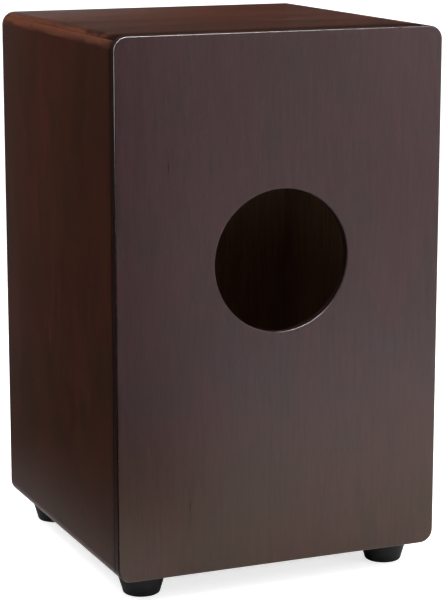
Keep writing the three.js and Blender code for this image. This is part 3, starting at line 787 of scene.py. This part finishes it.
def flat_plate(bm, half_width, half_height, corner, front, back, holes=(), hole_radius=0.0):
    """A plate square to Y with rounded corners, broken edges and round holes, in metres."""
    ease = 0.15 * (back - front)

    def outline(inset, y):
        points = rounded_rectangle(half_width - inset, half_height - inset, corner - inset, 4)
        return [(x, y, z) for x, z in points]

    rings = [(outline(ease, front), 0.0), (outline(0, front + ease), 0.0)]
    rings += [(outline(0, back - ease), 0.0), (outline(ease, back), 0.0)]
    loops = [loft(bm, rings)]
    for x, z in holes:
        loops.append(loft(bm, [(circle(hole_radius, y, 20, (x, z)), 0.0) for y in (front, back)]))
    fill(bm, [first for first, _ in loops])
    fill(bm, [last for _, last in loops])


def half_snare(side, sign):
    thickness = CLIP["thickness"] * MM
    half_width, clip_top = CLIP["width"] / 2 * MM, CLIP["height"] / 2 * MM
    strand_y = -(CLIP["thickness"] + STRAND_RADIUS - STRAND_SUNK) * MM
    tip_y = TAPA_HIGH.y + (STRAND_RADIUS + STRAND_GAP) * MM - BAR_LOW.y
    lean = math.asin((strand_y - tip_y) / (STRAND_LENGTH * MM))
    along_strand = Vector((0, -math.sin(lean), math.cos(lean)))
    screw_holes = [(end * CLIP["screw_offset"] * MM, 0) for end in (-1, 1)]

    def make(bm):
        flat_plate(
            bm, half_width, clip_top, CLIP_CORNER * MM, -thickness, 0, screw_holes, CLIP_HOLE_RADIUS * MM,
        )
        for i in range(STRANDS):
            x = (i - (STRANDS - 1) / 2) * STRAND_SPACING * MM
            base = Vector((x, strand_y, clip_top - STRAND_BELOW_CLIP_TOP * MM))
            coil(bm, base, along_strand, STRAND_LENGTH * MM, STRAND_RADIUS * MM, WIRE_RADIUS * MM)
        lift = Matrix.Translation((0, 0, clip_top - STRIP["below_clip_top"] * MM))
        before = set(bm.verts)
        flat_plate(
            bm, half_width - STRIP["shorter"] * MM, STRIP["half_height"] * MM, STRIP["corner"] * MM,
            strand_y - STRIP["proud"] * MM, -thickness,
        )
        bmesh.ops.transform(bm, matrix=lift, verts=[v for v in bm.verts if v not in before])
        place = Vector((sign * SNARE_OFFSET * MM, BAR_LOW.y, BAR_HIGH.z - CLIP["below_bar_top"] * MM))
        bm.transform(Matrix.Translation(place) @ Matrix.Rotation(sign * SPLAY, 4, "Y"))

    piece = solid(f"coiled_half_snare_{side}", MATERIAL["wire"], make, sharp=60, weighted=False)
    stand_for(piece, f"half_snare_{side}", "snare")


def lever_grip():
    """A ribbed rubber sleeve with a socket for the lever."""
    low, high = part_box("lever_grip")
    lever_half_width, lever_half_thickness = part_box("snare_lever")[1].x, 1.25 * MM
    middle = (low.z + high.z) / 2
    half_width, half_height = (high.x - low.x) / 2, (high.z - low.z) / 2
    length = high.y - low.y
    corner, end_radius = 3 * MM, 2 * MM
    rib_depth, rib_pitch, plain_end = 0.5 * MM, 4 * MM, 4 * MM
    gap, socket_depth, socket_corner = 0.15 * MM, 36.3 * MM, 0.2 * MM

    def outer(along):
        end_distance = min(along, length - along)
        rounding = max(0.0, end_radius - end_distance)
        inset = end_radius - math.sqrt(end_radius ** 2 - rounding ** 2)
        if end_distance > plain_end:
            inset += rib_depth * (0.5 - 0.5 * math.cos(2 * math.pi * (along - plain_end) / rib_pitch))
        points = rounded_rectangle(half_width - inset, half_height - inset, corner - inset * 0.9, 5)
        return [(x, low.y + along, middle + z) for x, z in points]

    def socket(y):
        points = rounded_rectangle(lever_half_width + gap, lever_half_thickness + gap, socket_corner, 2)
        return [(x, y, middle + z) for x, z in points]

    def make(bm):
        steps = 84
        first, last = loft(bm, [(outer(length * i / steps), 0.0) for i in range(steps + 1)])
        mouth, bottom = loft(bm, [(socket(low.y), 0.0), (socket(low.y + socket_depth), 0.0)])
        fill(bm, [first, mouth])
        fill(bm, [last])
        fill(bm, [bottom])

    piece = solid("ribbed_lever_grip", MATERIAL["rubber"], make, sharp=50)
    stand_for(piece, "lever_grip", "snare")


def pin_profile(radius, length):
    ease = 0.5
    return [
        (0, 0), (radius - ease, 0), (radius, ease),
        (radius, length - ease), (radius - ease, length), (0, length),
    ]


def soften(node, material, width):
    """A CAD node that keeps its own mesh, with a better material and softened edges."""
    kept = nodes[node]
    kept.material_slots[0].material = material
    bevel = kept.modifiers.new("softened", "BEVEL")
    bevel.width, bevel.segments = width, 2
    bevel.limit_method, bevel.angle_limit = "ANGLE", math.radians(40)


def snare():
    for side, sign in SIDES:
        half_snare(side, sign)
        soften(f"pivot_block_{side}", MATERIAL["block"], 0.8 * MM)
    along_bar = (1, 0, 0)
    for prefix, (radius, length) in PIN.items():
        profile = pin_profile(radius, length)
        turned_pieces(prefix, MATERIAL["steel"], profile, along_bar, closed=False)
    profile = washer_profile(**FRICTION_WASHER)
    turned_pieces("friction_washer", MATERIAL["cork"], profile, along_bar)
    screws(CLIP_SCREW, "clip_screw", "snare", (0, 1, 0))
    screws(CLIP_SCREW, "lever_screw", "snare", (0, -1, 0))
    lever_grip()
    soften("snare_bar", MATERIAL["bar"], 0.3 * MM)
    soften("snare_lever", MATERIAL["steel"], 0.3 * MM)
    for node in nodes:
        if node.startswith("corner_cleat"):
            soften(node, MATERIAL["cleat"], 0.8 * MM)


shell()
rear_panel()
tapa()
screws(COUNTERSUNK, "tapa_screw", "box", (0, 1, 0))
feet()
snare()


# ---- Studio --------------------------------------------------------------------------------------

VIEW_AZIMUTH, VIEW_ELEVATION = math.radians(156.84), math.radians(11.76)
VIEW_DISTANCE = 2.001
VIEW_TARGET = Vector((-0.0085, 0, 0.2254))
LENS = 131.3
FLOOR_GLOW = 0.75  # what the floor adds for the camera
ROOM = 0.03  # the tone of everything else that the object reflects


def view_direction(azimuth, elevation):
    """From the object towards the camera. Azimuth 0 is in front of the tapa, and 90 is on +X."""
    flat = math.cos(elevation)
    return Vector((math.sin(azimuth) * flat, -math.cos(azimuth) * flat, math.sin(elevation)))


def camera():
    data = bpy.data.cameras.new("camera")
    data.lens, data.clip_end = LENS, 100
    made = bpy.data.objects.new("camera", data)
    scene.collection.objects.link(made)
    back = view_direction(VIEW_AZIMUTH, VIEW_ELEVATION)
    made.location = VIEW_TARGET + back * VIEW_DISTANCE
    made.rotation_euler = back.to_track_quat("Z", "Y").to_euler()
    scene.camera = made


def softbox(name, place, aim, width, height, power):
    """A rectangular light at `place` that faces `aim`. Neither the camera nor a reflection shows it."""
    data = bpy.data.lights.new(name, "AREA")
    data.shape, data.size, data.size_y, data.energy = "RECTANGLE", width, height, power
    made = bpy.data.objects.new(name, data)
    scene.collection.objects.link(made)
    made.location = place
    made.rotation_euler = (Vector(place) - Vector(aim)).to_track_quat("Z", "Y").to_euler()
    made.visible_camera = made.visible_glossy = False


def skylight(strength):
    """Even light from above, without a highlight of its own."""
    data = bpy.data.lights.new("ceiling", "SUN")
    data.energy, data.angle = strength, math.radians(100)
    made = bpy.data.objects.new("ceiling", data)
    scene.collection.objects.link(made)
    made.visible_glossy = False
    made.rotation_euler = (math.radians(12), math.radians(-12), 0)


def staged_card(name, corners, glow):
    """A glowing card that is seen in reflections only. glow(look) gives its strength."""
    mesh = bpy.data.meshes.new(name)
    mesh.from_pydata(corners, [], [(0, 1, 2, 3)])
    made = bpy.data.objects.new(name, mesh)
    scene.collection.objects.link(made)
    look = Look(name)
    look.finish(Base_Color=rgb(0, 0, 0), Roughness=1.0, Specular_IOR_Level=0.0)
    look.finish(Emission_Color=rgb(1, 1, 1), Emission_Strength=glow(look))
    mesh.materials.append(look.material)
    made.visible_camera = made.visible_diffuse = made.visible_shadow = False


def card(name, middle, facing, width, height, glow):
    """A card of one tone, square to `facing`, with its width level."""
    turn = Vector(facing).to_track_quat("Z", "Y")
    halves = ((-1, -1), (1, -1), (1, 1), (-1, 1))
    corners = [Vector(middle) + turn @ Vector((x * width / 2, y * height / 2, 0)) for x, y in halves]

    def strength(look):
        return look.math("MULTIPLY_ADD", look.noise(look.place, 2.0), 0.1 * glow, glow)

    staged_card(name, corners, strength)


def fading_card(name, start, along, across, glows, fade):
    """A card that runs from `start` as far as `along`, with `across` its half width. Its glow goes from the
    first of `glows` to the second over the first `fade` metres."""
    start, along, across = Vector(start), Vector(along), Vector(across)
    corners = [start - across, start + across, start + across + along, start - across + along]

    def strength(look):
        from_start = look.vector("SUBTRACT", look.place, tuple(start))
        distance = look.vector("DOT_PRODUCT", from_start, tuple(along.normalized())).node.outputs["Value"]
        return look.remap(distance, 0.0, fade, *glows)

    staged_card(name, corners, strength)


def ground_card(name, start, away, width, length, glows, fade):
    """A fading card on the floor that runs from `start` in the direction `away`, both in x and y."""
    just_above_floor = 0.001
    along = Vector((*away, 0)).normalized()
    across = Vector((-along.y, along.x, 0)) * width / 2
    fading_card(name, (*start, just_above_floor), along * length, across, glows, fade)


def floor():
    """A pale floor that the camera sees a little brighter than the object does."""
    half = 60
    corners = [(-half, -half, 0), (half, -half, 0), (half, half, 0), (-half, half, 0)]
    mesh = bpy.data.meshes.new("studio_floor")
    mesh.from_pydata(corners, [], [(0, 1, 2, 3)])
    made = bpy.data.objects.new("studio_floor", mesh)
    scene.collection.objects.link(made)
    look = Look("pale_floor")
    mottle = look.noise(look.place, 3.0)
    colour = look.mix(mottle, rgb(0.80, 0.80, 0.80), rgb(0.84, 0.84, 0.84))
    seen = look.node("ShaderNodeLightPath").outputs["Is Camera Ray"]
    glow = look.math("MULTIPLY", seen, FLOOR_GLOW)
    look.finish(Base_Color=colour, Roughness=1.0, Specular_IOR_Level=0.0)
    look.finish(Emission_Color=rgb(1, 1, 1), Emission_Strength=glow)
    mesh.materials.append(look.material)


def world():
    """White behind the object, and a dark room in its reflections."""
    made = bpy.data.worlds.new("studio")
    scene.world = made
    made.use_nodes = True
    tree = made.node_tree
    background = tree.nodes["Background"]
    path = tree.nodes.new("ShaderNodeLightPath")
    strength = tree.nodes.new("ShaderNodeMapRange")
    tree.links.new(path.outputs["Is Camera Ray"], strength.inputs["Value"])
    strength.inputs["To Min"].default_value = ROOM
    strength.inputs["To Max"].default_value = 1.0
    tree.links.new(strength.outputs[0], background.inputs["Strength"])
    background.inputs["Color"].default_value = rgb(1, 1, 1)


camera()
floor()
world()
skylight(2.3)

softbox("overhead", (-0.25, 0.43, 1.80), (0, 0.1, 0.48), 0.6, 0.4, 12)
softbox("side", (0.95, -0.80, 0.85), (0.15, 0, 0.25), 0.5, 0.7, 5.8)
softbox("corner", (0.65, -0.3, 0.95), (0.12, -0.1, 0.48), 0.3, 0.3, 2.0)
softbox("key", (-1.06, 0.80, 0.46), (0, 0.15, 0.25), 0.7, 0.7, 12.3)

# What the lacquer reflects. The bright cards draw the rims and the edges, "front_glow" veils the side, "far"
# and "far_edge" veil the top, and the dark cards and those on the floor shade the panels.
card("bright_key", (-1.06, 1.15, 0.90), (1.06, -1.0, -0.65), 0.8, 0.9, 3.0)
fading_card("bright_strip", (-0.9, 0.43, 1.8), (2.15, 0, 0), (0, 0.15, 0), (8, 27), fade=0.55)
card("bright_corner", (1.22, 0.22, 1.15), (-1, 0, 0), 0.3, 1.1, 8.0)
card("bright_side", (1.20, 0.42, 0.41), (-1, 0, 0), 0.45, 0.32, 3.5)
card("front_glow", (0.175, -0.30, 0.25), (0, 1, 0), 0.05, 0.46, 0.12)
card("far", (-0.34, -1.1, 0.52), (0, 1, 0), 0.84, 0.16, 0.08)
fading_card("far_edge", (0.13, -0.215, 0.494), (-0.3, 0, 0), (0, 0, 0.009), (0.30, 0.0), fade=0.26)
ground_card("dark_ground", (0.15, -1.4), (1, 0), 5.2, 3.0, (0.27, 0.0), fade=0.11)
ground_card("even_behind", (-0.5, 0.95), (0, 1), 3.0, 3.5, (0.65, 0.70), fade=1.2)
ground_card("dark_behind", (0.150, 0.365), (-0.386, 0.90), 0.3, 0.6, (0.4, 0.0), fade=0.2)
card("dark_side", (0.42, -0.62, 0.35), (-0.386, 0.90, 0), 1.4, 0.3, 0.0)
card("dark_front", (0.30, 0.62, 0.22), (0, -1, 0), 0.72, 0.44, 0.0)
scene.view_settings.view_transform = "Standard"

bpy.context.view_layer.update()
